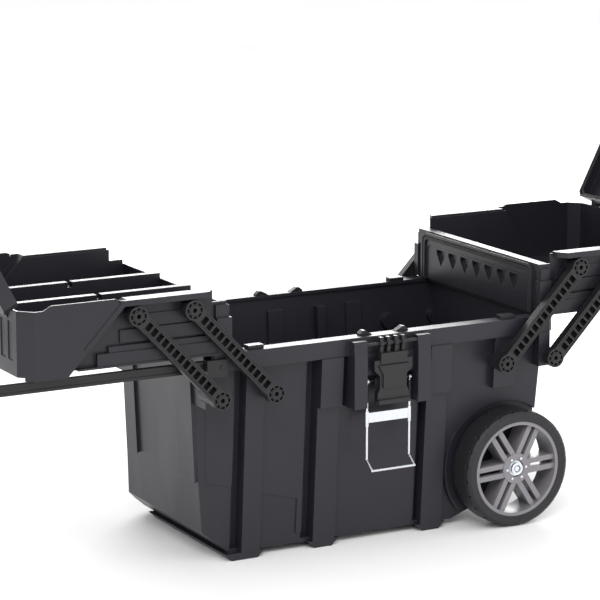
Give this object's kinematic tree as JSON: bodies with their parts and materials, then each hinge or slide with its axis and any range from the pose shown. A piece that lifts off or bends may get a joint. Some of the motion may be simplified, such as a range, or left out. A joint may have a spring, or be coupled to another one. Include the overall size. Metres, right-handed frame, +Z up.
{
  "type": "rolling tool chest",
  "caption": "Open tool tub on wheels with lidded bins that swing out on parallel cantilever arms, a draw latch and a pull-out handle.",
  "frame": {"origin": "on the floor, midway along the tub and midway between the wheels", "axes": "+X along the tub towards the wheels, -Y is the front with the latch, +Z up"},
  "size_m": [1.4029, 0.3734, 0.6764],
  "materials": {
    "tub_black": "black polypropylene, fine moulded texture",
    "bin_black": "black polypropylene, satin",
    "arm_black": "black moulded nylon, satin",
    "fitting_black": "black moulded plastic, satin",
    "rail_black": "black powder coat on extruded aluminium",
    "hub_grey": "dark grey moulded plastic with a light metallic look",
    "tyre_black": "hard black tyre plastic",
    "rubber_black": "matt black rubber",
    "zinc_steel": "bright zinc plated steel"
  },
  "bodies": {
    "chest": {"tub": "tub_black", "rail_bracket_front": "fitting_black", "rail_bracket_back": "fitting_black", "bracket_screws": "fitting_black", "rim_ramps": "fitting_black", "rim_pads": "fitting_black", "tub_pivots_front": "fitting_black", "tub_pivots_back": "fitting_black", "latch_pin": "fitting_black", "axle": "zinc_steel", "push_nuts": "zinc_steel", "wheel_washers": "zinc_steel"},
    "handle": {"handle_rail_front": "rail_black", "handle_rail_back": "rail_black", "handle_bar": "fitting_black", "handle_grip": "rubber_black", "handle_screws": "zinc_steel"},
    "left_outer_arms": {"left_outer_arm_front": "arm_black", "left_outer_arm_back": "arm_black"},
    "left_inner_arms": {"left_inner_arm_front": "arm_black", "left_inner_arm_back": "arm_black"},
    "left_tray": {"left_bin": "bin_black", "left_divider_front": "bin_black", "left_divider_back": "bin_black", "left_bin_pivots": "fitting_black", "left_hinge_pins": "zinc_steel"},
    "left_cover": {"left_lid": "bin_black", "left_lid_seal": "rubber_black"},
    "right_outer_arms": {"right_outer_arm_front": "arm_black", "right_outer_arm_back": "arm_black"},
    "right_inner_arms": {"right_inner_arm_front": "arm_black", "right_inner_arm_back": "arm_black"},
    "right_tray": {"right_bin": "bin_black", "right_bin_seal": "rubber_black", "right_bin_pivots": "fitting_black", "right_hinge_pins": "zinc_steel"},
    "right_cover": {"right_lid": "bin_black", "right_lid_seal": "rubber_black"},
    "lever": {"latch_lever": "fitting_black", "bail_pin": "fitting_black"},
    "bail": {"latch_bail": "zinc_steel", "bail_sleeves": "fitting_black", "bail_plate": "zinc_steel"},
    "front_wheel": {"front_tyre": "tyre_black", "front_hub": "hub_grey", "front_hub_bolts": "zinc_steel"},
    "back_wheel": {"back_tyre": "tyre_black", "back_hub": "hub_grey", "back_hub_bolts": "zinc_steel"}
  },
  "joints": [
    {"name": "handle_slide", "type": "slide", "parent": "chest", "child": "handle", "axis": [1, 0, 0], "range_m": [0, 0.365]},
    {"name": "left_swing", "type": "hinge", "parent": "chest", "child": "left_outer_arms", "pos_m": [-0.2624, 0, 0.237], "axis": [0, 1, 0], "range_deg": [0, 87.4]},
    {"name": "left_inner_swing", "type": "hinge", "parent": "chest", "child": "left_inner_arms", "pos_m": [-0.182, 0, 0.237], "axis": [0, 1, 0], "range_deg": [0, 87.4]},
    {"name": "left_level", "type": "hinge", "parent": "left_outer_arms", "child": "left_tray", "pos_m": [-0.38234, 0, 0.36251], "axis": [0, 1, 0], "range_deg": [-87.4, 0]},
    {"name": "left_lid_hinge", "type": "hinge", "parent": "left_tray", "child": "left_cover", "pos_m": [-0.54437, 0, 0.3884], "axis": [0, 1, 0], "range_deg": [0, 117]},
    {"name": "right_swing", "type": "hinge", "parent": "chest", "child": "right_outer_arms", "pos_m": [0.2624, 0, 0.237], "axis": [0, -1, 0], "range_deg": [0, 87.4]},
    {"name": "right_inner_swing", "type": "hinge", "parent": "chest", "child": "right_inner_arms", "pos_m": [0.182, 0, 0.237], "axis": [0, -1, 0], "range_deg": [0, 87.4]},
    {"name": "right_level", "type": "hinge", "parent": "right_outer_arms", "child": "right_tray", "pos_m": [0.38234, 0, 0.36251], "axis": [0, -1, 0], "range_deg": [-87.4, 0]},
    {"name": "right_lid_hinge", "type": "hinge", "parent": "right_tray", "child": "right_cover", "pos_m": [0.54437, 0, 0.3884], "axis": [0, -1, 0], "range_deg": [0, 117]},
    {"name": "lever_hinge", "type": "hinge", "parent": "chest", "child": "lever", "pos_m": [0, -0.176, 0.286], "axis": [1, 0, 0], "range_deg": [-150, 0]},
    {"name": "bail_hinge", "type": "hinge", "parent": "lever", "child": "bail", "pos_m": [0, -0.168, 0.233], "axis": [-1, 0, 0], "range_deg": [0, 163]},
    {"name": "front_wheel_spin", "type": "hinge", "parent": "chest", "child": "front_wheel", "pos_m": [0.202, -0.1642, 0.0834], "axis": [0, 1, 0], "continuous": true},
    {"name": "back_wheel_spin", "type": "hinge", "parent": "chest", "child": "back_wheel", "pos_m": [0.202, 0.1642, 0.0834], "axis": [0, 1, 0], "continuous": true}
  ],
  "couplings": [
    {"joint": "left_inner_swing", "follows": "left_swing", "ratio": 1},
    {"joint": "left_level", "follows": "left_swing", "ratio": -1},
    {"joint": "right_inner_swing", "follows": "right_swing", "ratio": 1},
    {"joint": "right_level", "follows": "right_swing", "ratio": -1}
  ]
}
